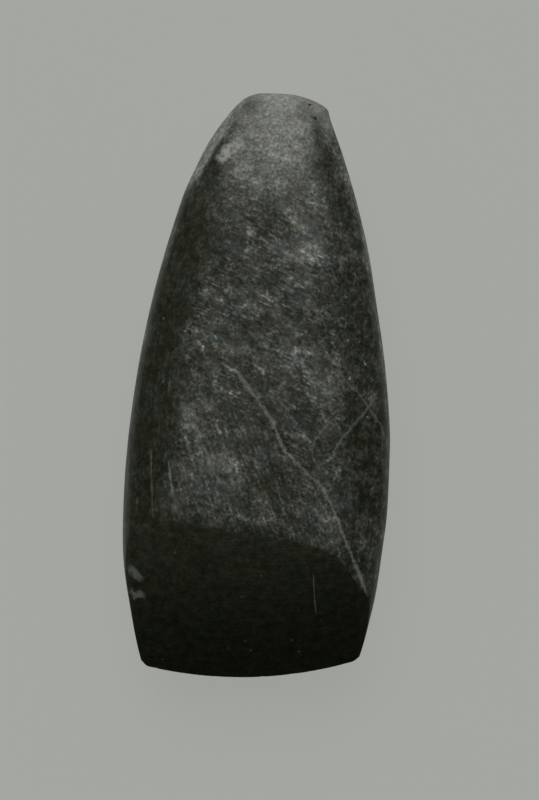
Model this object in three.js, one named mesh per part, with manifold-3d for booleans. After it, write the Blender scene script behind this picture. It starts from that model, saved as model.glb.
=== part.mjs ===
// A ground and polished stone axe head: one piece of dark fine-grained stone, lying on a broad face.
// Millimetres. +Y runs along the tool from the cutting edge to the butt, +X across it, +Z up.
// The origin is on the ground, under the middle of the length and width.
// The form is a full, rounded blank with two bevels ground on it that meet in the cutting edge, a flat
// ground on each broad face, and a facet ground on one shoulder of the butt.
import * as THREE from "three";
import { mergeVertices, toCreasedNormals } from "three/addons/utils/BufferGeometryUtils.js";
import Module from "manifold-3d";

// Plan outline: each side is two arcs that meet at its widest station
const LENGTH = 150;
const WIDTH = 67.8;
const EDGE_WIDTH = 52.8; // across the side arcs where they reach the edge's lowest point
const LEFT_WIDEST_AT = 44.8; // from the edge's lowest point
const RIGHT_WIDEST_AT = 47.9;
const LEFT_BUTT_REACH = 12.5; // from the axis to the side arc at the butt, before it is rounded
const RIGHT_BUTT_REACH = 11.9;
const LEFT_BUTT_CORNER = 9; // length over which this corner of the butt is rounded in plan
const RIGHT_BUTT_CORNER = 4.6;

// Side view: the broad faces bulge above and below the plane that holds the cutting edge
const UPPER_CROWN = 19;
const LOWER_CROWN = 18;
const THICKEST_AT = 60; // from the edge's lowest point
const BODY_BUTT_FALL = 6; // how far each face's long bow has come down by the butt
const BODY_EDGE_FALL = 3.5; // the same by the cutting edge, before the bevels
const BUTT_TAPER_LENGTH = 55; // the stretch over which the faces also slope down to the butt
const BUTT_TAPER_BEND = 40; // how much of it the slope takes to set in
const BUTT_TAPER_DEG = 14;
const BUTT_ROUNDING = 5; // length over which the end of the butt is rounded, seen from the side
const BUTT_FLAT_DEPTH = 0.5; // how much the butt is cut short, which leaves the flat at its end

// Cross-section: a full, rounded form with its shoulders ground flatter
const SECTION_POWER = 2.8;
const SHOULDER_INNER_DEG = 50; // where a shoulder begins, as an angle round the section
const SHOULDER_OUTER_DEG = 22.5;

// Flats ground on the two broad faces
const UPPER_FLAT_DEPTH = 0.25;
const LOWER_FLAT_DEPTH = 0.4;

// Cutting edge and its two bevels
const EDGE_RADIUS = 103.7; // the edge's bow in plan
const EDGE_SKEW_DEG = 3.6; // the bow is turned, so that the right corner stands further back
const EDGE_LAND = 0.3; // the blunt width of the worn edge
const LEFT_CORNER_WEAR = 0.6; // how much each corner of the edge has worn back
const RIGHT_CORNER_WEAR = 0.45;
const BEVEL_LENGTH = 37.5;
const BEVEL_ANGLE_DEG = 33; // between a bevel and the mid plane, right at the edge
const BEVEL_TILT = 0.1; // share by which the bevels are steeper at the right side than the middle
const UPPER_LEFT_ROLL = 0.78; // how fully the upper bevel rolls down with the section: 0 isn't at all
const UPPER_RIGHT_ROLL = 0.4;
const LOWER_ROLL = 0.6;

// The facet ground on the left shoulder of the butt
const FACET_FACING_DEG = 150; // in plan, anticlockwise from +X
const FACET_RISE_DEG = 17; // how far it looks up
const FACET_DEPTH = 3.25;

// How finely the curved surfaces are faceted
const SIDE_STEPS = 4; // round the section, from the side's middle to its shoulder
const SHOULDER_STEPS = 4;
const FACE_STEPS = 7;
const BEVEL_STEPS = 9; // along the tool
const BODY_STEPS = 13;
const TAPER_STEPS = 11;
const ROUNDING_STEPS = 7;

const STONE_COLOUR = 0x3b3d38;
const STONE_ROUGHNESS = 0.42;
const CREASE_DEG = 12; // facets that meet at more than this show a sharp line

const { clamp, degToRad: radians, lerp, mapLinear } = THREE.MathUtils;

const wasm = await Module();
wasm.setup();

// How far an arc has fallen at `along` from its top, when it falls by `fall` over `span`.
function arcFall(along, span, fall) {
  const radius = (span * span + fall * fall) / (2 * fall);
  return radius - Math.sqrt(radius * radius - along * along);
}

// 1 up to where the rounding begins, then down to 0 just past the butt, as a quarter of an ellipse.
function roundedEnd(y, length) {
  const end = LENGTH + BUTT_FLAT_DEPTH;
  const share = clamp((y - (end - length)) / length, 0, 1);
  return Math.sqrt(1 - share * share);
}

// What differs between the two sides.
const left = {
  sign: -1,
  widestAt: LEFT_WIDEST_AT,
  buttReach: LEFT_BUTT_REACH,
  buttCorner: LEFT_BUTT_CORNER,
  wear: LEFT_CORNER_WEAR,
};
const right = {
  sign: 1,
  widestAt: RIGHT_WIDEST_AT,
  buttReach: RIGHT_BUTT_REACH,
  buttCorner: RIGHT_BUTT_CORNER,
  wear: RIGHT_CORNER_WEAR,
};

// How far a side stands from the axis, at a distance y from the edge's lowest point.
function halfWidth(y, side) {
  const towardsButt = y > side.widestAt;
  const fall = WIDTH / 2 - (towardsButt ? side.buttReach : EDGE_WIDTH / 2);
  const span = towardsButt ? LENGTH - side.widestAt : side.widestAt;
  const arc = WIDTH / 2 - arcFall(y - side.widestAt, span, fall);
  return arc * roundedEnd(y, side.buttCorner);
}

// Height of a broad face over the mid plane, along the tool's middle.
function faceHeight(y, crown) {
  const towardsButt = y > THICKEST_AT;
  const span = towardsButt ? LENGTH - THICKEST_AT : THICKEST_AT;
  const bow = arcFall(y - THICKEST_AT, span, towardsButt ? BODY_BUTT_FALL : BODY_EDGE_FALL);
  const sloping = Math.max(y - (LENGTH - BUTT_TAPER_LENGTH), 0);
  const bent = Math.min(sloping, BUTT_TAPER_BEND);
  const slope = Math.tan(radians(BUTT_TAPER_DEG)) * (sloping - bent + (bent * bent) / (2 * BUTT_TAPER_BEND));
  return (crown - bow - slope) * roundedEnd(y, BUTT_ROUNDING);
}

// Height of the section as a share of its middle, at a share of the half width from the middle.
function sectionHeight(across) {
  const curve = (share) => Math.sqrt(1 - Math.pow(share, SECTION_POWER));
  const inner = Math.cos(radians(SHOULDER_INNER_DEG));
  const outer = Math.cos(radians(SHOULDER_OUTER_DEG));
  if (across <= inner || across >= outer) return curve(across);
  return mapLinear(across, inner, outer, curve(inner), curve(outer));
}

// The first place between two others at which a test comes true, found by halving.
function firstPlace(low, high, isPast) {
  let [before, past] = [low, high];
  while (past - before > 1e-6) {
    const middle = (before + past) / 2;
    if (isPast(middle)) past = middle;
    else before = middle;
  }
  return past;
}

// Where the cutting edge lies in plan, as the distance from its lowest point, before its corners wore.
function edgeBow(x) {
  const offset = x + EDGE_RADIUS * Math.sin(radians(EDGE_SKEW_DEG));
  return EDGE_RADIUS - Math.sqrt(EDGE_RADIUS * EDGE_RADIUS - offset * offset);
}

// The line across the corner between one side and the edge, to which it has worn.
function wornCorner(side) {
  const outline = (y) => side.sign * halfWidth(y, side);
  const corner = firstPlace(0, side.widestAt, (y) => y >= edgeBow(outline(y)));
  return (x) => corner + Math.SQRT2 * side.wear + side.sign * (x - outline(corner));
}

const leftCorner = wornCorner(left);
const rightCorner = wornCorner(right);
const edgeLine = (x) => Math.max(edgeBow(x), leftCorner(x), rightCorner(x));

// How much a bevel has risen at a distance behind the cutting edge, before it rolls down at the
// sides: it is convex, and reaches `top` at the bevel's length in the tool's middle.
function bevelRise(x, behind, top) {
  const steepest = Math.tan(radians(BEVEL_ANGLE_DEG));
  const rise = top - EDGE_LAND / 2;
  const bend = (steepest * BEVEL_LENGTH - rise) / (BEVEL_LENGTH * BEVEL_LENGTH);
  const curved = Math.min(behind, BEVEL_LENGTH);
  const gentlest = steepest - 2 * bend * BEVEL_LENGTH;
  const height = curved * (steepest - bend * curved) + (behind - curved) * gentlest;
  return height * (1 + (BEVEL_TILT * x) / (WIDTH / 2));
}

// What differs between the two broad faces.
const upper = {
  sign: 1,
  crown: UPPER_CROWN,
  flatDepth: UPPER_FLAT_DEPTH,
  leftRoll: UPPER_LEFT_ROLL,
  rightRoll: UPPER_RIGHT_ROLL,
};
const lower = {
  sign: -1,
  crown: LOWER_CROWN,
  flatDepth: LOWER_FLAT_DEPTH,
  leftRoll: LOWER_ROLL,
  rightRoll: LOWER_ROLL,
};

// The tool's surface along one angle round the section, as points from the cutting edge to the butt.
// A rib has a point where the bevel ends, so that the crease there is a line of the mesh.
function rib(degrees) {
  const face = degrees < 180 ? upper : lower;
  const across = Math.cos(radians(degrees));
  const side = across < 0 ? left : right;
  const height = sectionHeight(Math.abs(across));
  const rolled = 1 - (side === left ? face.leftRoll : face.rightRoll) * (1 - height);
  const middle = (y) => faceHeight(y, face.crown + face.flatDepth);
  const out = (y) => across * halfWidth(y, side);
  const behind = (y) => y - edgeLine(out(y));
  const blank = (y) => Math.min(middle(y) * height, face.crown);
  const bevel = (y) => {
    return EDGE_LAND / 2 + rolled * bevelRise(out(y), behind(y), middle(BEVEL_LENGTH));
  };
  const point = (y) => {
    return new THREE.Vector3(out(y), y, face.sign * Math.min(blank(y), bevel(y)));
  };
  const start = firstPlace(-LENGTH / 10, LENGTH / 2, (y) => behind(y) >= 0);
  const crease = firstPlace(start, LENGTH / 2, (y) => bevel(y) >= blank(y));
  const taper = LENGTH - BUTT_TAPER_LENGTH;
  const rounding = LENGTH - Math.max(LEFT_BUTT_CORNER, RIGHT_BUTT_CORNER, BUTT_ROUNDING);
  const stretches = [
    [BEVEL_STEPS, (share) => lerp(start, crease, share)],
    [BODY_STEPS, (share) => lerp(crease, taper, share)],
    [TAPER_STEPS, (share) => lerp(taper, rounding, share)],
    [ROUNDING_STEPS, (share) => lerp(rounding, LENGTH, Math.sin((Math.PI / 2) * share))],
  ];
  const stations = stretches.flatMap(([steps, place]) => {
    return Array.from({ length: steps }, (_, i) => place(i / steps));
  });
  return [...stations, LENGTH].map(point);
}

// Angles round the section, with one on each line where a shoulder begins or ends.
function ribAngles() {
  const marks = [
    [0, SHOULDER_OUTER_DEG, SIDE_STEPS],
    [SHOULDER_OUTER_DEG, SHOULDER_INNER_DEG, SHOULDER_STEPS],
    [SHOULDER_INNER_DEG, 90, FACE_STEPS],
  ];
  const quarter = marks.flatMap(([from, to, steps]) => {
    return Array.from({ length: steps }, (_, i) => lerp(from, to, i / steps));
  });
  const mirrored = quarter.slice(1).map((degrees) => 180 - degrees);
  const half = [...quarter, 90, ...mirrored.reverse()];
  return [...half, ...half.map((degrees) => degrees + 180)];
}

// A mesh whose equal points are one, without the triangles that this closes up.
function weld(geometry) {
  const bare = geometry.clone();
  bare.deleteAttribute("normal");
  bare.deleteAttribute("uv");
  const merged = mergeVertices(bare, 1e-4);
  const index = [];
  for (let i = 0; i < merged.index.count; i += 3) {
    const corners = [0, 1, 2].map((k) => merged.index.getX(i + k));
    if (new Set(corners).size === 3) index.push(...corners);
  }
  return merged.setIndex(index);
}

function toSolid(geometry) {
  const welded = weld(geometry);
  return new wasm.Manifold(
    new wasm.Mesh({
      numProp: 3,
      vertProperties: welded.attributes.position.array,
      triVerts: new Uint32Array(welded.index.array),
    }),
  );
}

// The closed surface over all ribs, with the edge's land and the butt's flat at its two ends.
function ribbedGeometry(ribs) {
  const count = ribs.length;
  const rows = ribs[0].length;
  const at = (r, row) => ((r + count) % count) * rows + row;
  const index = [];
  for (let r = 0; r < count; r++) {
    for (let row = 0; row + 1 < rows; row++) {
      index.push(at(r, row), at(r + 1, row + 1), at(r + 1, row));
      index.push(at(r, row), at(r, row + 1), at(r + 1, row + 1));
    }
  }
  const last = rows - 1;
  for (let r = 0; r < count / 2; r++) {
    index.push(at(r, 0), at(r + 1, 0), at(-r - 1, 0));
    index.push(at(r, 0), at(-r - 1, 0), at(-r, 0));
    index.push(at(r, last), at(-r - 1, last), at(r + 1, last));
    index.push(at(r, last), at(-r, last), at(-r - 1, last));
  }
  return new THREE.BufferGeometry().setFromPoints(ribs.flat()).setIndex(index);
}

// Everything outside the plane of the facet on the butt's shoulder, which lies its depth inside the
// furthest of the surface's points that way.
function beyondFacet(points) {
  const level = Math.cos(radians(FACET_RISE_DEG));
  const facing = radians(FACET_FACING_DEG);
  const rise = Math.sin(radians(FACET_RISE_DEG));
  const normal = new THREE.Vector3(level * Math.cos(facing), level * Math.sin(facing), rise);
  const furthest = Math.max(...points.map((point) => point.dot(normal)));
  const block = new THREE.BoxGeometry(4 * LENGTH, 4 * LENGTH, LENGTH);
  block.translate(0, 0, LENGTH / 2 + furthest - FACET_DEPTH);
  const turn = new THREE.Quaternion().setFromUnitVectors(new THREE.Vector3(0, 0, 1), normal);
  return toSolid(block.applyQuaternion(turn));
}

function groundSolid() {
  const ribs = ribAngles().map(rib);
  return toSolid(ribbedGeometry(ribs)).subtract(beyondFacet(ribs.flat()));
}

function toGeometry(solid) {
  const mesh = solid.getMesh();
  const geometry = new THREE.BufferGeometry()
    .setAttribute("position", new THREE.BufferAttribute(mesh.vertProperties, 3))
    .setIndex(new THREE.BufferAttribute(mesh.triVerts, 1));
  return toCreasedNormals(geometry, radians(CREASE_DEG));
}

function axeHead() {
  const stone = new THREE.MeshStandardMaterial({
    color: STONE_COLOUR,
    roughness: STONE_ROUGHNESS,
    metalness: 0,
  });
  const mesh = new THREE.Mesh(toGeometry(groundSolid()), stone);
  mesh.name = "axe_head";
  mesh.position.set(0, -LENGTH / 2, LOWER_CROWN);
  return mesh;
}

const axe = new THREE.Group();
axe.add(axeHead());

export default axe;
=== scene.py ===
import math
from types import SimpleNamespace

import bmesh
import bpy
import numpy as np
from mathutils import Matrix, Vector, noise


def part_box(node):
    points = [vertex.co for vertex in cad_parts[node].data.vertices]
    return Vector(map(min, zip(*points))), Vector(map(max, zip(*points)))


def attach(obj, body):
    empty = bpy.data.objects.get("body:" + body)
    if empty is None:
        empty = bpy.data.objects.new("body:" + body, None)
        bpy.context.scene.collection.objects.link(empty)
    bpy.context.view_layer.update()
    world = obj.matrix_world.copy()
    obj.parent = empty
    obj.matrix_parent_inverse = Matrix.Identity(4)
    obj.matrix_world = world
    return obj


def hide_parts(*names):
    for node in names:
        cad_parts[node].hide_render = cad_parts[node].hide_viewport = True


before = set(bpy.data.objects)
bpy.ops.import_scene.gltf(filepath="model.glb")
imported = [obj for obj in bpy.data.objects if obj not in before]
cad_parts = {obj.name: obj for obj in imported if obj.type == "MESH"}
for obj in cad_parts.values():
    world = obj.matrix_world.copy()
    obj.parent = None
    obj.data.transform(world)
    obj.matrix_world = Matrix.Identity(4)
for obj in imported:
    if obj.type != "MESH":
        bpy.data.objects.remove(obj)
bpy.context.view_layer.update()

MM = 0.001
CAD_LOW, CAD_HIGH = (np.array(corner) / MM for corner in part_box("axe_head"))
WIDTH, LENGTH, THICKNESS = CAD_HIGH - CAD_LOW

# Plan outline: each side is two arcs that meet at its widest station
EDGE_WIDTH = 52.8
LEFT_WIDEST_AT = 44.8
RIGHT_WIDEST_AT = 47.9
LEFT_BUTT_REACH = 12.5
RIGHT_BUTT_REACH = 11.9
LEFT_BUTT_CORNER = 9
RIGHT_BUTT_CORNER = 4.6

# Side view
LOWER_CROWN = 18
UPPER_CROWN = THICKNESS - LOWER_CROWN
THICKEST_AT = 60
BODY_BUTT_FALL = 6
BODY_EDGE_FALL = 3.5
BUTT_TAPER_LENGTH = 55
BUTT_TAPER_BEND = 40
BUTT_TAPER_DEG = 14
BUTT_ROUNDING = 5
BUTT_FLAT_DEPTH = 0.5

# Cross-section
SECTION_POWER = 2.8
SHOULDER_INNER_DEG = 50
SHOULDER_OUTER_DEG = 22.5

# Flats on the two broad faces
UPPER_FLAT_DEPTH = 0.25
LOWER_FLAT_DEPTH = 0.4

# Cutting edge and bevels
EDGE_RADIUS = 103.7
EDGE_SKEW_DEG = 3.6
EDGE_LAND = 0.3
LEFT_CORNER_WEAR = 0.6
RIGHT_CORNER_WEAR = 0.45
BEVEL_LENGTH = 37.5
BEVEL_ANGLE_DEG = 33
BEVEL_TILT = 0.1
UPPER_LEFT_ROLL = 0.78
UPPER_RIGHT_ROLL = 0.4
LOWER_ROLL = 0.6

# Facet on the left shoulder of the butt
FACET_FACING_DEG = 150
FACET_RISE_DEG = 17
FACET_DEPTH = 3.25

# How far the arrises have worn round
SHOULDER_WEAR = 0.03  # as a share of the section's height
FLAT_WEAR = 0.15
LEFT_CREASE_WEAR = 0.25
RIGHT_CREASE_WEAR = 0.9
FACET_WEAR = 0.7
FACET_END_WEAR = 1.4  # where the facet runs out at the end of the butt
FACET_END_FROM = 141
FACET_END_TO = 149
CREASE_WEAR_FROM = -5  # where along x the crease's wear goes over from the left's to the right's
CREASE_WEAR_TO = 25
FULL_WEAR_HEIGHT = 6  # the crease wears less where the body is lower than this
CORNER_ROUNDING = 0.5
EDGE_ROUNDING = 0.2

# How fine the mesh is
RIBS = 330
BEVEL_STATIONS = 78
BODY_STATIONS = 190
BUTT_STATIONS = 18
BUTT_RINGS = 5
SHORTEST_BEVEL = 12  # the least length over which a rib's bevel stations spread
BEVEL_CROWDING = 1.4  # over 1, these stations lie closer together by the edge
OUTLINE_SAMPLES = 4001  # of the section, from which the ribs are spaced

# How places along the tool are found
HALVINGS = 40
SEARCH_FROM = -15.0
SEARCH_TO = 75.0
ARC_RUN_ON = 1.2  # how far an arc is followed towards the edge and past it, as a share of its span

# Relief
UNDULATION = 0.14
UNDULATION_SIZE = 19
RIPPLE = 0.04
RIPPLE_SIZE = 6
PECK_DEPTH = 0.07
PECK_SIZE = 1.9
PECK_REACH = 0.55  # of each peck mark, as a share of the marks' spacing
BUTT_PECK_DEPTH = 0.13
BARE_TO = 0.5  # behind the edge: no relief up to here
RELIEF_FROM = 9  # and all of it from here
NICK_DEPTH = 0.22
NICK_REACH = 2.5

# Where the sides stand out from or fall short of their arcs: side, place, reach, and how far out that
# would be at the full half width. It is less where the head is narrower.
SIDE_SWELLS = [
    (-1, 28, 9, 0.3), (-1, 72, 13, 0.15), (-1, 140, 7, 3.5),
    (1, 33, 8, -0.3), (1, 65, 9, 0.3), (1, 96, 10, -0.4), (1, 129, 11, 0.3), (1, 148, 2.5, 4.0),
]

# The pecked face lies inside this share of the half width. The butt and its end turn pale over these
# stretches.
FACE_SHARE = 0.66
BUTT_PALE_FROM = 112
BUTT_PALE_TO = 137
END_PALE_FROM = 137
END_PALE_TO = 146

# Pale veins, scratches and marks on the upper face: half width, strength, and points along each
MARKS = {
    "long_vein": (0.52, 1.0, [
        (-6.8, 79.1), (-3.6, 74.9), (0.5, 70.0), (3.3, 66.3), (5.9, 60.5), (8.3, 57.5), (12.3, 53.8),
        (16.3, 50.7), (20.6, 42.7), (23.4, 36.4), (27.1, 28.8), (29.4, 23.3),
    ]),
    "upper_vein": (0.42, 0.6, [
        (17.4, 82.3), (21.5, 76.6), (24.5, 74.5), (26.9, 71.2), (30.2, 67.0), (31.9, 63.0),
    ]),
    "crossing_vein": (0.46, 0.6, [
        (29.3, 74.4), (27.0, 70.7), (23.8, 66.7), (20.9, 63.2), (18.5, 58.8), (17.3, 56.6),
    ]),
    "vein_loop": (0.42, 0.5, [(17.6, 67.0), (15.2, 64.2), (13.4, 60.5), (13.7, 57.8), (16.2, 53.5)]),
    "left_scratch": (0.35, 0.6, [(-15.1, 62.8), (-13.3, 58.5), (-11.0, 53.3), (-8.8, 50.3)]),
    "side_scratch": (0.3, 0.4, [(-26.9, 58.0), (-26.3, 49.0), (-25.6, 40.7)]),
    "side_flecks": (0.42, 1.0, [(-22.2, 55.0), (-21.4, 50.5), (-20.7, 46.6)]),
    "bevel_scratch": (0.2, 0.7, [(15.3, 28.8), (15.8, 23.2), (16.6, 18.1)]),
    "chalky_mark": (1.9, 0.9, [(-13.4, 131.2), (-10.9, 134.1), (-7.2, 136.6)]),
    "upper_scuff": (1.4, 0.9, [(-31.2, 27.8), (-29.6, 25.9), (-27.6, 24.6)]),
    "lower_scuff": (1.3, 0.9, [(-31.0, 21.4), (-29.2, 20.3), (-27.0, 20.7)]),
}
WANDERING = ["long_vein", "upper_vein", "crossing_vein", "vein_loop", "left_scratch"]
STRAIGHT = ["side_scratch", "side_flecks"]
MARK_CORE = 0.25  # the share of a mark's half width over which it is at its strongest
END_FADE = (-0.6, 1.2)  # over which a mark sets in, from its ends inward

# Small pale spots and dark pits of the upper face: middle and reach
PALE_SPOTS = [
    (25.9, 82.0, 0.55), (26.6, 83.4, 0.3), (21.3, 87.4, 0.35), (27.1, 68.4, 0.4), (27.0, 37.1, 0.4),
    (22.0, 77.9, 0.5), (-4.7, 112.9, 0.8), (-16.4, 64.0, 0.35), (12.5, 76.6, 0.35),
]
PITS = [(8.8, 147.2, 0.45), (10.5, 143.7, 0.55)]

# Paler and darker patches of the upper face: middle, half width, half length, and how much paler
PATCHES = [
    ("lower left", -9.0, 55.5, 6.5, 9.0, 0.65),
    ("low left side", -18.5, 66.0, 4.5, 4.5, 0.5),
    ("above the left crease", -17.0, 38.5, 8.0, 3.5, -0.6),
    ("above the crease", -1.0, 38.0, 13.0, 5.5, -0.45),
    ("beside the long vein", 4.0, 55.0, 5.0, 8.0, -0.45),
    ("right", 17.5, 75.5, 6.5, 5.0, 0.75),
    ("below the right patch", 24.0, 66.0, 6.0, 5.0, -0.7),
    ("middle", 6.5, 85.5, 7.0, 5.0, 0.4),
    ("left of the middle", -9.0, 84.0, 5.0, 8.0, 0.2),
    ("lower right", 17.3, 41.8, 3.0, 5.0, 0.3),
    ("upper right", 9.0, 113.0, 4.5, 13.0, 0.75),
    ("dark upper left", -12.0, 113.0, 8.0, 13.0, -0.55),
    ("left of the butt", -6.5, 127.5, 4.5, 4.5, 0.7),
    ("right of the butt", 11.0, 129.0, 5.0, 5.5, -0.65),
    ("middle of the butt", 2.0, 138.0, 4.0, 4.0, 0.35),
    ("beside the facet", -15.0, 134.0, 3.4, 7.0, -1.2),
    ("left corner of the butt", -6.5, 146.5, 2.8, 2.8, -0.95),
    ("right corner of the butt", 7.4, 146.0, 1.8, 2.6, -0.8),
    ("beside the right corner of the butt", 11.2, 141.0, 2.0, 4.0, -0.85),
    ("right side of the butt", 14.5, 134.5, 3.5, 5.0, -0.95),
    ("right side below the butt", 19.5, 121.0, 3.0, 7.0, -0.6),
    ("inside the facet", -10.0, 142.0, 2.2, 3.4, -0.6),
    ("upper middle", 0.0, 111.0, 12.0, 9.0, 0.22),
    ("middle left", -4.0, 92.0, 12.0, 8.0, 0.14),
    ("middle of the butt's end", 2.5, 146.5, 5.0, 4.5, 0.25),
]

# Sizes of the stone's noises, and its strokes: angle in plan, length, width and how much fine detail
BORDER_SIZE = 5.0
BROAD_SIZE = 13.0
GRAIN_SIZE = 0.78
CLUMP_SIZE = 2.0
SPECK_SPACING = 6.0
SHALLOW_STROKES = (-24, 3.2, 0.72, 1.5)
STEEP_STROKES = (-68, 3.4, 0.72, 1.5)
LONG_SHALLOW_STROKES = (-27, 6.5, 0.42, 0.0)
LONG_STEEP_STROKES = (-64, 6.0, 0.42, 0.0)
HAZE_STROKES = (-32, 7.5, 4.0, 4.0)
SIDE_STROKES = (87, 15.0, 1.1, 2.5)
LONG_SIDE_STROKES = (86, 12.0, 0.42, 0.0)
BEVEL_STROKES = (4, 9.0, 0.5, 1.5)

# The share of light that each zone or mark gives back
FACE_PALENESS = 0.054
BUTT_PALENESS = 0.165
END_PALENESS = 0.2
FACET_PALENESS = 0.2
SIDE_PALENESS = 0.022
EDGE_PALENESS = 0.0092
CREASE_PALENESS = 0.0255
VEIN_PALENESS = 0.15
SCUFF_PALENESS = 0.13
CHALK_PALENESS = 0.34
SPOT_PALENESS = 0.3
PIT_PALENESS = 0.01
SPECK_PALENESS = 0.12

# Finish and casts of the stone
PECKED_ROUGHNESS = 0.78
POLISHED_ROUGHNESS = 0.42
SHEEN = 0.08
BUMP_DEPTH = 0.025
DARK_TINT = (1.0, 1.12, 0.7, 1)
PALE_TINT = (1.0, 1.035, 0.955, 1)
TEAL_CAST = (0.93, 1.02, 1.02, 1)
BROWN_CAST = (1.06, 1.0, 0.91, 1)
NO_CAST = (1.0, 1.0, 1.0, 1)

# The photograph's frame
PHOTO_HEIGHT = 800
MM_PER_PIXEL = 0.25663
VIEW_ROLL_DEG = 2.7
VIEW_X = 2.27
VIEW_Y = 71.55
LENS = 100
SENSOR = 36

# Studio, in metres
FLOOR_REACH = 8
BACKDROP_REACH = 7.5
FLOOR_DROP = 0.0001  # keeps the floor just clear of the head's flat
FLOOR_COLOUR = (0.315, 0.326, 0.31, 1)
FLOOR_GLOW = (0.98, 1.02, 0.95, 1)
FLOOR_GLOW_STRENGTH = 0.185
BACKDROP_COLOUR = (0.371, 0.386, 0.356, 1)
SKY_COLOUR = (1.0, 1.04, 0.75, 1)
SKY_STRENGTH = 0.07
KEY_LIGHT = (2.0, 46, 97, 40)  # strength, then elevation, azimuth and spread in degrees
SHADING_LIGHT = (0.35, 50, 100, 50)


def arc_fall(along, span, fall):
    """How far an arc has fallen at `along` from its top, when it falls by `fall` over `span`."""
    radius = (span * span + fall * fall) / (2 * fall)
    return radius - np.sqrt(radius * radius - along * along)


def smooth_min(a, b, reach):
    """The lesser of two values, rounded over where they differ by less than `reach`."""
    near = np.maximum(reach - np.abs(a - b), 0) / np.maximum(reach, 1e-9)
    return np.minimum(a, b) - near * near * reach / 4


def smooth_step(value, low, high):
    share = np.clip((value - low) / (high - low), 0, 1)
    return share * share * (3 - 2 * share)


def first_place(low, high, is_past):
    """The first places between two others at which a test comes true, found by halving."""
    for _ in range(HALVINGS):
        middle = (low + high) / 2
        past = is_past(middle)
        low = np.where(past, low, middle)
        high = np.where(past, middle, high)
    return high


def rounded_end(y, length):
    """1 up to where the rounding begins, then down to 0 just past the butt."""
    end = LENGTH + BUTT_FLAT_DEPTH
    share = np.clip((y - (end - length)) / length, 0, 1)
    return np.sqrt(1 - share * share)


def half_width(y, is_left):
    widest_at = np.where(is_left, LEFT_WIDEST_AT, RIGHT_WIDEST_AT)
    towards_butt = y > widest_at
    butt_reach = np.where(is_left, LEFT_BUTT_REACH, RIGHT_BUTT_REACH)
    fall = WIDTH / 2 - np.where(towards_butt, butt_reach, EDGE_WIDTH / 2)
    span = np.where(towards_butt, LENGTH - widest_at, widest_at)
    along = np.clip(y - widest_at, -ARC_RUN_ON * span, span)
    arc = WIDTH / 2 - arc_fall(along, span, fall)
    return arc * rounded_end(y, np.where(is_left, LEFT_BUTT_CORNER, RIGHT_BUTT_CORNER))


def face_height(y, crown):
    """Height of a broad face over the mid plane, along the tool's middle."""
    towards_butt = y > THICKEST_AT
    span = np.where(towards_butt, LENGTH - THICKEST_AT, THICKEST_AT)
    fall = np.where(towards_butt, BODY_BUTT_FALL, BODY_EDGE_FALL)
    bow = arc_fall(np.clip(y - THICKEST_AT, -ARC_RUN_ON * span, span), span, fall)
    sloping = np.maximum(y - (LENGTH - BUTT_TAPER_LENGTH), 0)
    bent = np.minimum(sloping, BUTT_TAPER_BEND)
    run = sloping - bent + bent * bent / (2 * BUTT_TAPER_BEND)
    slope = math.tan(math.radians(BUTT_TAPER_DEG)) * run
    return (crown - bow - slope) * rounded_end(y, BUTT_ROUNDING)


def section_height(across):
    """Height of the section as a share of its middle, with the shoulders ground flatter."""
    def curve(share):
        return np.sqrt(np.maximum(1 - np.abs(share) ** SECTION_POWER, 0))
    inner = math.cos(math.radians(SHOULDER_INNER_DEG))
    outer = math.cos(math.radians(SHOULDER_OUTER_DEG))
    slope = (curve(outer) - curve(inner)) / (outer - inner)
    shoulder = curve(inner) + slope * (across - inner)
    full = curve(across)
    return np.maximum(smooth_min(full, shoulder, SHOULDER_WEAR * np.minimum(1, 4 * full)), 0)


def edge_bow(x):
    offset = x + EDGE_RADIUS * math.sin(math.radians(EDGE_SKEW_DEG))
    return EDGE_RADIUS - np.sqrt(EDGE_RADIUS * EDGE_RADIUS - offset * offset)


def worn_corner(sign, wear):
    """The line across one corner of the edge to which it has worn."""
    def side(y):
        return sign * half_width(y, sign < 0)
    corner = first_place(SEARCH_FROM, SEARCH_TO, lambda y: y >= edge_bow(side(y)))
    corner_x = side(corner)
    return lambda x: corner + math.sqrt(2) * wear + sign * (x - corner_x)


left_corner = worn_corner(-1, LEFT_CORNER_WEAR)
right_corner = worn_corner(1, RIGHT_CORNER_WEAR)


def edge_line(x):
    worn = -smooth_min(-left_corner(x), -right_corner(x), CORNER_ROUNDING)
    return -smooth_min(-edge_bow(x), -worn, CORNER_ROUNDING)


def bevel_rise(x, behind, top):
    """How much a bevel has risen behind the cutting edge, before it rolls down at the sides."""
    steepest = math.tan(math.radians(BEVEL_ANGLE_DEG))
    rise = top - EDGE_LAND / 2
    bend = (steepest * BEVEL_LENGTH - rise) / (BEVEL_LENGTH * BEVEL_LENGTH)
    curved = np.minimum(behind, BEVEL_LENGTH)
    gentlest = steepest - 2 * bend * BEVEL_LENGTH
    height = curved * (steepest - bend * curved) + (behind - curved) * gentlest
    return height * (1 + BEVEL_TILT * x / (WIDTH / 2))


def rib_shares():
    """The ribs' places across the half width, evenly spaced along the section's outline."""
    degrees = np.linspace(0, 180, OUTLINE_SAMPLES)
    across = np.cos(np.radians(degrees))
    x = across * WIDTH / 2
    z = section_height(np.abs(across)) * UPPER_CROWN
    walked = np.concatenate([[0], np.cumsum(np.hypot(np.diff(x), np.diff(z)))])
    places = np.interp(np.linspace(0, walked[-1], RIBS // 2 + 1), walked, degrees)
    return np.cos(np.radians(places))


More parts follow.
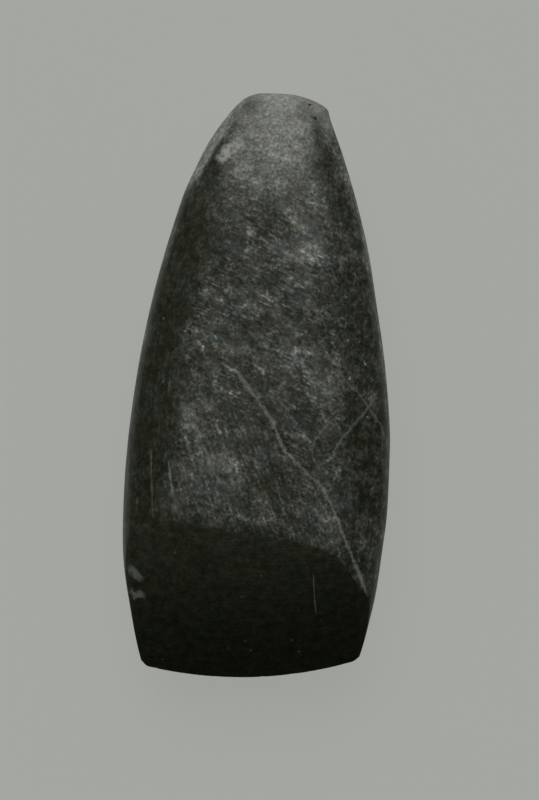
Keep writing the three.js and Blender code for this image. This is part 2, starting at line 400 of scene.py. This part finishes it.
def stations(start, crease):
    """The places along each rib, which lie closer together by the edge and at the end of the butt."""
    joint = np.maximum(crease, start + SHORTEST_BEVEL)
    butt_corner = max(LEFT_BUTT_CORNER, RIGHT_BUTT_CORNER, BUTT_ROUNDING)
    rounding = LENGTH - butt_corner
    bevel_steps = np.arange(BEVEL_STATIONS) / BEVEL_STATIONS
    body_steps = np.arange(BODY_STATIONS) / BODY_STATIONS
    butt_steps = np.sin(np.pi / 2 * np.arange(BUTT_STATIONS + 1) / BUTT_STATIONS)
    return np.concatenate([
        start + (joint - start) * bevel_steps ** BEVEL_CROWDING,
        joint + (rounding - joint) * body_steps,
        rounding + butt_corner * butt_steps + 0 * joint,
    ], axis=1)


def face_surface(across, sign):
    """Points and zones of one broad face: an array with a row for each rib."""
    crown, flat = (UPPER_CROWN, UPPER_FLAT_DEPTH) if sign > 0 else (LOWER_CROWN, LOWER_FLAT_DEPTH)
    left_roll, right_roll = (UPPER_LEFT_ROLL, UPPER_RIGHT_ROLL) if sign > 0 else (LOWER_ROLL, LOWER_ROLL)
    across = across[:, None]
    is_left = across < 0
    height = section_height(np.abs(across))
    rolled = 1 - np.where(is_left, left_roll, right_roll) * (1 - height)
    top = face_height(np.array(float(BEVEL_LENGTH)), crown + flat)

    def side(y):
        return across * half_width(y, is_left)

    def behind(y):
        return y - edge_line(side(y))

    def blank(y):
        middle = face_height(y, crown + flat) * height
        return smooth_min(middle, crown + 0 * middle, FLAT_WEAR)

    def bevel(y):
        back = np.maximum(behind(y), 0)
        land = np.minimum(back / EDGE_ROUNDING, 1)
        return EDGE_LAND / 2 * np.sqrt(1 - (1 - land) ** 2) + rolled * bevel_rise(side(y), back, top)

    count = across.shape[0]
    nearest, furthest = np.full((count, 1), SEARCH_FROM), np.full((count, 1), SEARCH_TO)
    start = first_place(nearest, furthest, lambda y: behind(y) >= 0)
    crease = first_place(start, furthest, lambda y: bevel(y) >= blank(y))
    y = stations(start, crease)
    x = side(y)
    rightward = smooth_step(x, CREASE_WEAR_FROM, CREASE_WEAR_TO)
    wear = LEFT_CREASE_WEAR + (RIGHT_CREASE_WEAR - LEFT_CREASE_WEAR) * rightward
    body, ground = blank(y), bevel(y)
    z = smooth_min(body, ground, wear * np.clip(body / FULL_WEAR_HEIGHT, 0, 1))
    points = np.stack([x, y, sign * np.maximum(z, 0)], axis=2)
    zones = np.stack([
        crease - y + 0 * x,
        np.abs(x) - FACE_SHARE * half_width(y, is_left),
        behind(y),
    ], axis=2)
    return points, zones


def grind_facet(points):
    """The points with those past the facet's plane brought back to it, and how far past they were."""
    rise = math.radians(FACET_RISE_DEG)
    facing = math.radians(FACET_FACING_DEG)
    level = math.cos(rise)
    normal = np.array([level * math.cos(facing), level * math.sin(facing), math.sin(rise)])
    past = points @ normal
    past -= past.max() - FACET_DEPTH
    endward = smooth_step(points[..., 1], FACET_END_FROM, FACET_END_TO)
    wear = FACET_WEAR + (FACET_END_WEAR - FACET_WEAR) * endward
    back = np.where(past > wear, past, np.maximum(past + wear, 0) ** 2 / (4 * wear))
    return points - back[..., None] * normal, past


def axe_surface():
    """Vertices, zones and faces of the whole head."""
    shares = rib_shares()
    upper, upper_zones = face_surface(shares, 1)
    lower, lower_zones = face_surface(shares[1:-1][::-1], -1)
    grid = np.concatenate([upper, lower])
    grid, past_facet = grind_facet(grid)
    zones = np.concatenate([upper_zones, lower_zones])
    zones = np.concatenate([zones, past_facet[..., None]], axis=2)
    ribs, rows = grid.shape[:2]
    number = np.arange(ribs * rows).reshape(ribs, rows)
    for i in range(1, ribs // 2):
        number[ribs - i, 0] = number[i, 0]
    around = np.roll(number, -1, axis=0)
    quads = np.stack([number[:, :-1], number[:, 1:], around[:, 1:], around[:, :-1]], axis=2).reshape(-1, 4)
    vertices, all_zones = [grid.reshape(-1, 3)], [zones.reshape(-1, zones.shape[2])]
    faces = [quads]
    ring, centre = grid[:, -1], grid[:, -1].mean(axis=0)
    previous = number[:, -1]
    for step in range(1, BUTT_RINGS):
        shrunk = centre + (ring - centre) * (1 - step / BUTT_RINGS)
        current = sum(len(part) for part in vertices) + np.arange(ribs)
        vertices.append(shrunk)
        all_zones.append(zones[:, -1])
        faces.append(np.stack([previous, current, np.roll(current, -1), np.roll(previous, -1)], axis=1))
        previous = current
    middle = sum(len(part) for part in vertices)
    vertices.append(centre[None])
    all_zones.append(zones[:1, -1])
    fan = np.stack([previous, np.full(ribs, middle), np.roll(previous, -1)], axis=1)
    return np.concatenate(vertices), np.concatenate(all_zones), np.concatenate(faces), fan


def noise_at(points, size, shift):
    """Smooth noise between -1 and 1, with features of about `size`. Another shift gives another noise."""
    return np.array([noise.noise(place) for place in (points / size + shift).tolist()])


def dimples(points, size):
    """1 in the middle of each pit, and 0 between the pits."""
    distance = np.array([noise.voronoi(place)[0][0] for place in (points / size).tolist()])
    return np.maximum(1 - distance / PECK_REACH, 0) ** 1.5


def relief(points, zones):
    """How far the surface stands out from the ground form."""
    bevel = smooth_step(zones[:, 0], -1.5, 1.5)
    shoulder = smooth_step(zones[:, 1] + 2 * noise_at(points, 7, 3.3), -1.5, 3)
    butt = smooth_step(points[:, 1], BUTT_PALE_FROM, BUTT_PALE_TO)
    pecked = (1 - bevel) * np.maximum(1 - shoulder, 0.8 * butt)
    depth = PECK_DEPTH + (BUTT_PECK_DEPTH - PECK_DEPTH) * butt
    height = UNDULATION * noise_at(points, UNDULATION_SIZE, 11.7)
    height = height + RIPPLE * noise_at(points, RIPPLE_SIZE, 5.1)
    height -= pecked * depth * dimples(points, PECK_SIZE) * (0.7 + 0.6 * noise_at(points, 4.0, 8.8))
    return (height - 0.5 * UNDULATION) * smooth_step(zones[:, 2], BARE_TO, RELIEF_FROM)


def nicks(points, zones):
    """How far the cutting edge has worn back at each point, in small nicks."""
    along = np.stack([points[:, 0], 0 * points[:, 0], 0 * points[:, 0]], axis=1)
    rough = np.maximum(noise_at(along, 2.3, 0.4), 0) ** 2 + 0.35 * np.maximum(noise_at(along, 0.8, 7.9), 0)
    return NICK_DEPTH * rough * np.maximum(1 - zones[:, 2] / NICK_REACH, 0) ** 2


def swells(points):
    """How far the sides stand out in x from their arcs, less towards the tool's middle."""
    out = np.zeros(len(points))
    for side, place, reach, far in SIDE_SWELLS:
        out += (side * points[:, 0] > 0) * side * far * np.exp(-((points[:, 1] - place) / reach) ** 2)
    return out * (points[:, 0] / (WIDTH / 2)) ** 2


def line_place(points, line):
    """Each point's offset to the side of a line, how far it is past the line's start and before its
    end. The first and last stretches run on straight past the ends."""
    line = np.array(line)
    best = np.full(len(points), 1e9)
    offset, along = np.zeros(len(points)), np.zeros(len(points))
    walked = 0.0
    for i, (a, b) in enumerate(zip(line[:-1], line[1:])):
        length = np.hypot(*(b - a))
        way = (b - a) / length
        ahead = (points - a) @ way
        lowest = -1e9 if i == 0 else 0
        highest = 1e9 if i == len(line) - 2 else length
        nearest = np.clip(ahead, lowest, highest)
        apart = points - (a + nearest[:, None] * way)
        distance = np.hypot(*apart.T)
        side = np.where(way[0] * apart[:, 1] - way[1] * apart[:, 0] < 0, -1, 1)
        nearer = distance < best
        best = np.where(nearer, distance, best)
        offset = np.where(nearer, side * distance, offset)
        along = np.where(nearer, walked + nearest, along)
        walked += length
    return offset, along, walked - along


def patch_field(points):
    field = np.zeros(len(points))
    for _, x, y, half_across, half_long, paler in PATCHES:
        across = (points[:, 0] - x) / half_across
        along = (points[:, 1] - y) / half_long
        field += paler * np.exp(-across ** 2 - along ** 2)
    return np.where(points[:, 2] > 0, field, 0)


def spot_field(points, spots):
    """Distance to the nearest spot's middle, as a share of its reach."""
    apart = [np.hypot(points[:, 0] - x, points[:, 1] - y) / reach for x, y, reach in spots]
    return np.minimum.reduce(apart)


def store_vector(mesh, name, columns):
    layer = mesh.attributes.new(name, "FLOAT_VECTOR", "POINT")
    layer.data.foreach_set("vector", np.stack(columns, axis=1).astype(np.float32).ravel())


def axe_piece():
    points, zones, quads, fan = axe_surface()
    mesh = bpy.data.meshes.new("polished_stone")
    mesh.from_pydata(points.tolist(), [], quads.tolist() + fan.tolist())
    normals = np.zeros(len(mesh.vertices) * 3, dtype=np.float32)
    mesh.vertices.foreach_get("normal", normals)
    shown = points + relief(points, zones)[:, None] * normals.reshape(-1, 3)
    shown[:, 0] += swells(points)
    shown[:, 1] += nicks(points, zones)
    shown += np.array([0, CAD_LOW[1], LOWER_CROWN])
    shown = np.clip(shown, CAD_LOW, CAD_HIGH) * MM
    mesh.vertices.foreach_set("co", shown.astype(np.float32).ravel())
    mesh.polygons.foreach_set("use_smooth", np.ones(len(mesh.polygons), dtype=bool))
    store_vector(mesh, "zones", zones.T[:3])
    store_vector(mesh, "tones", [patch_field(points), zones.T[3], points[:, 2]])
    store_vector(mesh, "spots", [spot_field(points, PALE_SPOTS), spot_field(points, PITS), 0 * points[:, 0]])
    for name, (_, _, line) in MARKS.items():
        offset, past_start, before_end = line_place(points[:, :2], line)
        store_vector(mesh, name, [offset, past_start, before_end])
    mesh.update()
    piece = bpy.data.objects.new("polished_stone", mesh)
    bpy.context.collection.objects.link(piece)
    piece.data.materials.append(stone())
    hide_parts("axe_head")
    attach(piece, "root")


class Nodes:
    """Makes the nodes of one material. Inputs are sockets to link, or plain values."""

    def __init__(self, material):
        material.use_nodes = True
        self.tree = material.node_tree
        self.tree.nodes.clear()

    def add(self, kind, inputs, **settings):
        node = self.tree.nodes.new(kind)
        for name, value in settings.items():
            setattr(node, name, value)
        for name, value in inputs.items():
            if isinstance(value, bpy.types.NodeSocket):
                self.tree.links.new(value, node.inputs[name])
            else:
                node.inputs[name].default_value = value
        return node.outputs

    def math(self, operation, *values):
        return self.add("ShaderNodeMath", dict(enumerate(values)), operation=operation)[0]

    def times(self, a, b):
        return self.math("MULTIPLY", a, b)

    def total(self, *parts):
        """The sum of (share, value) pairs."""
        result = 0.0
        for share, value in parts:
            result = self.math("MULTIPLY_ADD", value, share, result)
        return result

    def strongest(self, first, *others):
        for other in others:
            first = self.math("MAXIMUM", first, other)
        return first

    def step(self, value, low, high, start=0.0, end=1.0):
        """From `start` to `end`, smoothly, as the value goes from `low` to `high`."""
        inputs = {"Value": value, "From Min": low, "From Max": high, "To Min": start, "To Max": end}
        return self.add("ShaderNodeMapRange", inputs, interpolation_type="SMOOTHSTEP")[0]

    def mix(self, share, a, b):
        return self.add("ShaderNodeMix", {0: share, 2: a, 3: b}, data_type="FLOAT")[0]

    def colour(self, share, a, b):
        return self.add("ShaderNodeMix", {0: share, 6: a, 7: b}, data_type="RGBA")[2]

    def place(self, vector, turn=(0, 0, 0), scale=(1, 1, 1)):
        inputs = {"Vector": vector, "Rotation": turn, "Scale": scale}
        return self.add("ShaderNodeMapping", inputs, vector_type="POINT")[0]

    def noise(self, vector, size, detail=2.0, roughness=0.5):
        """Noise around 0, mostly within -0.5 and 0.5."""
        inputs = {"Vector": vector, "Scale": 1 / size, "Detail": detail, "Roughness": roughness}
        made = self.add("ShaderNodeTexNoise", inputs)
        return self.math("SUBTRACT", made[0], 0.5)

    def strokes(self, vector, degrees, length, width, detail):
        """Noise drawn out into short strokes that lie at an angle in plan."""
        turned = self.place(vector, turn=(0, 0, -math.radians(degrees)))
        drawn = self.place(turned, scale=(width / length, 1, 1))
        return self.noise(drawn, width, detail, 0.6)

    def attribute(self, name):
        vector = self.add("ShaderNodeAttribute", {}, attribute_name=name)["Vector"]
        return self.add("ShaderNodeSeparateXYZ", {0: vector})


def stone_fields(nodes):
    """The places and noises that the parts of the stone's look share."""
    at = SimpleNamespace()
    metres = nodes.add("ShaderNodeTexCoord", {})["Object"]
    at.place = nodes.place(metres, scale=(1 / MM,) * 3)
    at.across, along, _ = nodes.add("ShaderNodeSeparateXYZ", {0: at.place})
    at.from_edge = nodes.math("SUBTRACT", along, float(CAD_LOW[1]))
    at.bevel_side, at.shoulder_side, at.behind = nodes.attribute("zones")
    at.patches, at.past_facet, at.rise = nodes.attribute("tones")
    at.above = nodes.step(at.rise, -0.5, 0.5)
    at.border = nodes.noise(at.place, BORDER_SIZE, 4.0, 0.6)
    at.broad = nodes.noise(at.place, BROAD_SIZE, 3.0, 0.55)
    at.grain = nodes.noise(at.place, GRAIN_SIZE, 2.0, 0.6)
    at.clumps = nodes.noise(at.place, CLUMP_SIZE, 3.0, 0.6)
    at.haze = nodes.strokes(at.place, *HAZE_STROKES)
    return at


def add_zones(nodes, at):
    """How far each place belongs to each zone, from 0 to 1, with uneven borders, and where the painted rim
    sheen lies.
    """
    from_edge, border, broad = at.from_edge, at.border, at.broad
    at.bevel = nodes.step(nodes.total((1.0, at.bevel_side), (1.6, border)), -0.4, 0.5)
    from_shoulder = nodes.total((1.0, at.shoulder_side), (13.0, border), (10.0, broad))
    at.shoulder = nodes.step(from_shoulder, -4.5, 3.5)
    from_butt = nodes.total((1.0, from_edge), (18.0, broad), (9.0, border))
    whole_butt = nodes.step(from_butt, BUTT_PALE_FROM, BUTT_PALE_TO)
    at.butt = nodes.times(whole_butt, nodes.mix(at.shoulder, 1.0, 0.3))
    at.end = nodes.step(nodes.total((1.0, from_edge), (9.0, border)), END_PALE_FROM, END_PALE_TO)
    at.facet = nodes.step(nodes.total((1.0, at.past_facet), (4.5, border)), -0.5, 1.2)
    at.right = nodes.step(at.across, 0.0, 12.0)
    # A paler band along the narrow sides near the mid plane, weaker at the lower right: painted sheen that
    # stands in for the pale floor's reflection in the grazing sides
    low_right = nodes.times(at.right, nodes.step(from_edge, 68.0, 52.0))
    near_middle = nodes.step(nodes.math("ABSOLUTE", at.rise), 8.5, 4.0)
    whole_ridge = nodes.times(near_middle, nodes.step(at.behind, 2.0, 9.0))
    at.ridge = nodes.times(whole_ridge, nodes.mix(low_right, 1.0, 0.35))


def pecked_textures(nodes, at):
    """The pecked face's strokes that cross, steeper towards the lower left, and the butt's fine grain."""
    slanting = nodes.total((1.0, at.from_edge), (0.6, at.across), (14.0, at.broad))
    lower_left = nodes.step(slanting, 72.0, 56.0)
    shallow = nodes.strokes(at.place, *SHALLOW_STROKES)
    steep = nodes.strokes(at.place, *STEEP_STROKES)
    long_shallow = nodes.step(nodes.strokes(at.place, *LONG_SHALLOW_STROKES), 0.13, 0.27)
    long_steep = nodes.step(nodes.strokes(at.place, *LONG_STEEP_STROKES), 0.15, 0.29)
    weave = nodes.mix(lower_left, nodes.total((2.2, shallow), (0.9, steep)),
                      nodes.total((0.9, shallow), (2.2, steep)))
    scratches = nodes.mix(lower_left, nodes.total((0.6, long_shallow), (0.15, long_steep)),
                          nodes.total((0.1, long_shallow), (0.55, long_steep)))
    gain = nodes.step(nodes.noise(at.place, 4.0, 2.0, 0.5), -0.2, 0.22, 0.6, 1.3)
    contrast = nodes.times(gain, nodes.step(at.patches, 0.1, 0.8, 1.0, 0.76))
    flecks = nodes.times(contrast, nodes.total((1.0, weave), (3.7, at.grain), (1.0, scratches)))
    texture = nodes.total((0.92, flecks), (2.2, at.clumps), (3.0, at.haze))
    granular = nodes.total((0.25, weave), (3.4, at.grain), (2.0, at.clumps), (1.5, at.haze))
    return texture, granular


def polished_textures(nodes, at):
    """Polishing lines on the shoulders, few and broken, and faint ones across the bevels."""
    lines = nodes.strokes(at.place, *SIDE_STROKES)
    scratches = nodes.step(nodes.strokes(at.place, *LONG_SIDE_STROKES), 0.2, 0.34)
    broken = nodes.times(scratches, nodes.step(at.clumps, -0.12, 0.14))
    flecks = nodes.times(nodes.mix(at.right, 0.8, 1.25), nodes.total((2.7, at.grain), (3.0, at.clumps)))
    clouds = nodes.times(nodes.mix(at.right, 0.3, 1.0), at.border)
    side = nodes.total((1.5, lines), (1.0, flecks), (1.1, at.haze), (3.0, clouds), (0.9, broken))
    bevel_lines = nodes.strokes(at.place, *BEVEL_STROKES)
    bevel = nodes.total((1.0, bevel_lines), (1.2, at.grain), (2.0, at.clumps))
    return side, bevel


def zone_level(nodes, at, texture, granular):
    """How pale each place is without its marks, as the logarithm of its brightness."""
    side_texture, bevel_texture = polished_textures(nodes, at)
    face = nodes.total((1.0, at.patches), (0.9, at.broad), (1.0, texture), (1.0, math.log(FACE_PALENESS)))
    butt = nodes.total((0.7, at.patches), (0.75, granular), (0.5, at.broad), (1.0, math.log(BUTT_PALENESS)))
    end = nodes.total((0.7, at.patches), (0.5, granular), (1.0, math.log(END_PALENESS)))
    # The sides' level takes in the painted rim sheen: paler along the narrow sides, as a grazing reflection
    # of the floor would make them
    side = nodes.total((1.0, side_texture), (0.5, at.patches), (1.1, at.broad), (1.3, at.ridge),
                       (0.42, at.right), (1.0, math.log(SIDE_PALENESS)))
    facet = nodes.total((0.9, granular), (1.0, math.log(FACET_PALENESS)))
    ground = nodes.step(at.behind, 0.0, 38.0, math.log(EDGE_PALENESS), math.log(CREASE_PALENESS))
    level = nodes.mix(at.shoulder, face, side)
    level = nodes.mix(at.butt, level, butt)
    level = nodes.mix(at.end, level, end)
    level = nodes.mix(at.facet, level, facet)
    return nodes.mix(at.bevel, level, nodes.math("ADD", bevel_texture, ground))


def mark(nodes, name, wander, swelling=1.0):
    """How strongly a vein, scratch or scuff shows: less towards its sides and ends."""
    half_width, strength, _ = MARKS[name]
    offset, past_start, before_end = nodes.attribute(name)
    distance = nodes.math("ABSOLUTE", nodes.math("ADD", offset, wander))
    distance = nodes.math("DIVIDE", distance, swelling)
    across = nodes.step(distance, half_width * MARK_CORE, half_width, strength, 0.0)
    ends = nodes.times(nodes.step(past_start, *END_FADE), nodes.step(before_end, *END_FADE))
    return nodes.times(across, ends)


def veins(nodes, at):
    """How strongly the veins and scratches of the upper face show."""
    coarse, fine = nodes.noise(at.place, 2.4, 3.0, 0.6), nodes.noise(at.place, 0.8, 2.0, 0.6)
    wander = nodes.total((1.0, coarse), (0.6, fine))
    swelling = nodes.step(nodes.noise(at.place, 1.9, 2.0, 0.6), -0.2, 0.25, 0.6, 1.8)
    strength = nodes.step(nodes.noise(at.place, 1.1, 3.0, 0.65), -0.24, 0.08, 0.4, 1.0)
    wandering = [mark(nodes, name, wander, swelling) for name in WANDERING]
    straight = [mark(nodes, name, 0.0, swelling) for name in STRAIGHT]
    found = nodes.strongest(*wandering, *straight, mark(nodes, "bevel_scratch", 0.0))
    return nodes.times(nodes.times(found, strength), at.above)


def marked(nodes, at, brightness, texture):
    """The brightness with veins, scuffs, the chalky mark, spots, pits and specks laid over it."""
    vein_level = nodes.total((0.3, texture), (0.5, at.clumps), (1.0, math.log(VEIN_PALENESS)))
    brightness = nodes.mix(veins(nodes, at), brightness, nodes.math("POWER", math.e, vein_level))
    rough_edge = nodes.total((3.4, nodes.noise(at.place, 1.6, 4.0, 0.75)), (1.0, at.grain))
    scuffs = nodes.strongest(mark(nodes, "upper_scuff", rough_edge), mark(nodes, "lower_scuff", rough_edge))
    brightness = nodes.mix(nodes.times(scuffs, at.above), brightness, SCUFF_PALENESS)
    flaking = nodes.step(nodes.total((1.0, at.clumps), (0.6, at.grain)), -0.3, 0.02, 0.4, 1.0)
    chalk = nodes.times(mark(nodes, "chalky_mark", rough_edge), at.above)
    brightness = nodes.mix(nodes.times(chalk, flaking), brightness, CHALK_PALENESS)
    from_spot, from_pit, _ = nodes.attribute("spots")
    spots = nodes.step(nodes.total((1.0, from_spot), (3.0, at.grain)), 1.3, 0.5, 0.0, 0.8)
    brightness = nodes.mix(nodes.times(spots, at.above), brightness, SPOT_PALENESS)
    pits = nodes.step(nodes.total((1.0, from_pit), (1.0, at.grain)), 1.3, 0.6)
    brightness = nodes.mix(nodes.times(pits, at.above), brightness, PIT_PALENESS)
    from_speck = nodes.add("ShaderNodeTexVoronoi", {"Vector": at.place, "Scale": 1 / SPECK_SPACING})[0]
    specks = nodes.times(nodes.step(from_speck, 0.045, 0.08, 0.9, 0.0), nodes.mix(at.bevel, 0.8, 0.4))
    return nodes.mix(specks, brightness, SPECK_PALENESS)


def tinted(nodes, at, brightness):
    """The stone's colour: greener where dark, with teal and brown casts here and there."""
    tint = nodes.colour(nodes.step(brightness, 0.008, 0.06), DARK_TINT, PALE_TINT)
    casting = nodes.step(nodes.noise(at.place, 3.2, 2.0, 0.6), -0.2, 0.2)
    cast = nodes.colour(casting, TEAL_CAST, BROWN_CAST)
    cast = nodes.colour(nodes.step(brightness, 0.08, 0.2, 0.0, 0.7), cast, NO_CAST)
    shade = nodes.add("ShaderNodeVectorMath", {0: tint, 1: cast}, operation="MULTIPLY")[0]
    return nodes.add("ShaderNodeVectorMath", {0: shade, "Scale": brightness}, operation="SCALE")[0]


def stone():
    material = bpy.data.materials.new("dark_ground_stone")
    nodes = Nodes(material)
    at = stone_fields(nodes)
    add_zones(nodes, at)
    texture, granular = pecked_textures(nodes, at)
    brightness = nodes.math("POWER", math.e, zone_level(nodes, at, texture, granular))
    brightness = marked(nodes, at, brightness, texture)
    rough = nodes.strongest(at.end, at.facet, at.butt)
    polish = nodes.strongest(at.bevel, nodes.mix(rough, at.shoulder, 0.0))
    finish = nodes.mix(polish, PECKED_ROUGHNESS, POLISHED_ROUGHNESS)
    height = nodes.times(texture, nodes.mix(polish, 1.0, 0.1))
    bump = nodes.add("ShaderNodeBump", {"Height": height, "Strength": 1.0, "Distance": BUMP_DEPTH * MM})[0]
    shader = nodes.add("ShaderNodeBsdfPrincipled", {
        "Base Color": tinted(nodes, at, brightness),
        "Roughness": nodes.total((0.25, at.grain), (1.0, finish)),
        "Normal": bump,
        "IOR": 1.5,
        "Specular IOR Level": SHEEN,
    })[0]
    nodes.add("ShaderNodeOutputMaterial", {"Surface": shader})
    return material


def floor():
    mesh = bpy.data.meshes.new("floor")
    signs = [(-1, -1), (1, -1), (1, 1), (-1, 1)]
    corners = [(x * FLOOR_REACH, y * FLOOR_REACH, -FLOOR_DROP) for x, y in signs]
    mesh.from_pydata(corners, [], [(0, 1, 2, 3)])
    piece = bpy.data.objects.new("floor", mesh)
    bpy.context.collection.objects.link(piece)
    material = bpy.data.materials.new("pale_floor")
    nodes = Nodes(material)
    shader = nodes.add("ShaderNodeBsdfPrincipled", {
        "Base Color": FLOOR_COLOUR, "Roughness": 1.0, "Specular IOR Level": 0.0,
        "Emission Color": FLOOR_GLOW, "Emission Strength": FLOOR_GLOW_STRENGTH,
    })[0]
    nodes.add("ShaderNodeOutputMaterial", {"Surface": shader})
    mesh.materials.append(material)
    return piece


def backdrop():
    """A pale dome behind everything, which only the camera sees."""
    mesh = bpy.data.meshes.new("backdrop")
    shape = bmesh.new()
    bmesh.ops.create_uvsphere(shape, u_segments=48, v_segments=24, radius=BACKDROP_REACH)
    shape.to_mesh(mesh)
    shape.free()
    piece = bpy.data.objects.new("backdrop", mesh)
    bpy.context.collection.objects.link(piece)
    material = bpy.data.materials.new("pale_backdrop")
    nodes = Nodes(material)
    glow = nodes.add("ShaderNodeEmission", {"Color": BACKDROP_COLOUR, "Strength": 1.0})[0]
    nodes.add("ShaderNodeOutputMaterial", {"Surface": glow})
    mesh.materials.append(material)
    piece.visible_diffuse = piece.visible_glossy = piece.visible_shadow = False
    piece.visible_transmission = piece.visible_volume_scatter = False


def sun(name, strength, elevation, azimuth, spread, blockers=None):
    """A broad soft light from `azimuth`, in degrees anticlockwise from +X."""
    light = bpy.data.lights.new(name, "SUN")
    light.energy = strength
    light.angle = math.radians(spread)
    piece = bpy.data.objects.new(name, light)
    bpy.context.collection.objects.link(piece)
    piece.rotation_euler = (0, math.radians(90 - elevation), math.radians(azimuth))
    if blockers:
        piece.light_linking.blocker_collection = blockers


def studio(floor_piece):
    world = bpy.data.worlds.new("studio")
    bpy.context.scene.world = world
    world.use_nodes = True
    background = world.node_tree.nodes["Background"]
    background.inputs["Color"].default_value = SKY_COLOUR
    background.inputs["Strength"].default_value = SKY_STRENGTH
    blockers = bpy.data.collections.new("light_blockers")
    blockers.objects.link(floor_piece)
    sun("key", *KEY_LIGHT, blockers)
    sun("shading_key", *SHADING_LIGHT)


def camera():
    data = bpy.data.cameras.new("camera")
    data.lens = LENS
    data.sensor_width = SENSOR
    piece = bpy.data.objects.new("camera", data)
    bpy.context.collection.objects.link(piece)
    frame_height = PHOTO_HEIGHT * MM_PER_PIXEL
    distance = frame_height * LENS / SENSOR
    piece.location = np.array([VIEW_X, VIEW_Y + CAD_LOW[1], LOWER_CROWN + distance]) * MM
    piece.rotation_euler = (0, 0, math.radians(VIEW_ROLL_DEG))
    bpy.context.scene.camera = piece


bpy.context.scene.view_settings.view_transform = "Standard"
camera()
backdrop()
studio(floor())
axe_piece()
